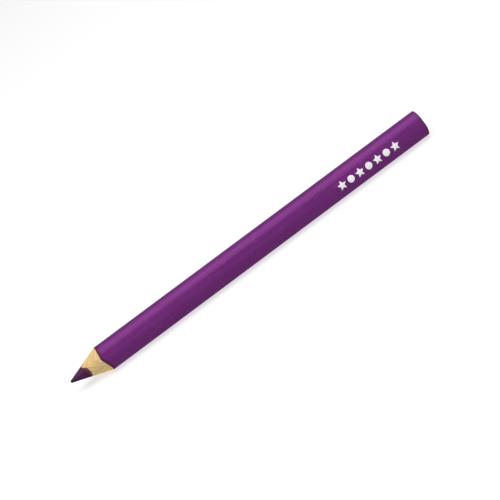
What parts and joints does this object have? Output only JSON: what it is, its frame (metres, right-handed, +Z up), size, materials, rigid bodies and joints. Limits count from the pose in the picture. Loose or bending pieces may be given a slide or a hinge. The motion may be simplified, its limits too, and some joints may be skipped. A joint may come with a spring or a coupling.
{
  "type": "colouring pencil",
  "caption": "Thick triangular wood-cased colouring pencil with rounded edges, gloss lacquer, a wide coloured core, a sharpened point and a plain stamped foil mark.",
  "frame": {"origin": "middle of the length and width, on the surface that the pencil lies on", "axes": "+X from the point to the cut end, along the length; +Z up from the flat it lies on; the stamped face looks towards -Y and up"},
  "size_m": [0.175, 0.0117, 0.0115],
  "materials": {
    "casing_wood": "raw pale softwood, cut by a sharpener",
    "glue": "thin dried wood glue",
    "colour_core": "waxy dark purple, cut by a sharpener",
    "ground_lacquer": "dull dark plum ground coat, seen only where it is cut",
    "colour_lacquer": "gloss purple lacquer",
    "foil": "satin white stamping foil"
  },
  "bodies": {
    "root": {"lower_slat": "casing_wood", "upper_slat": "casing_wood", "front_seam_glue": "glue", "back_seam_glue": "glue", "core_glue": "glue", "coloured_core": "colour_core", "ground_coat": "ground_lacquer", "colour_coat": "colour_lacquer", "foil_star_1": "foil", "foil_disc_1": "foil", "foil_star_2": "foil", "foil_disc_2": "foil", "foil_star_3": "foil", "foil_disc_3": "foil", "foil_star_4": "foil"}
  },
  "joints": []
}
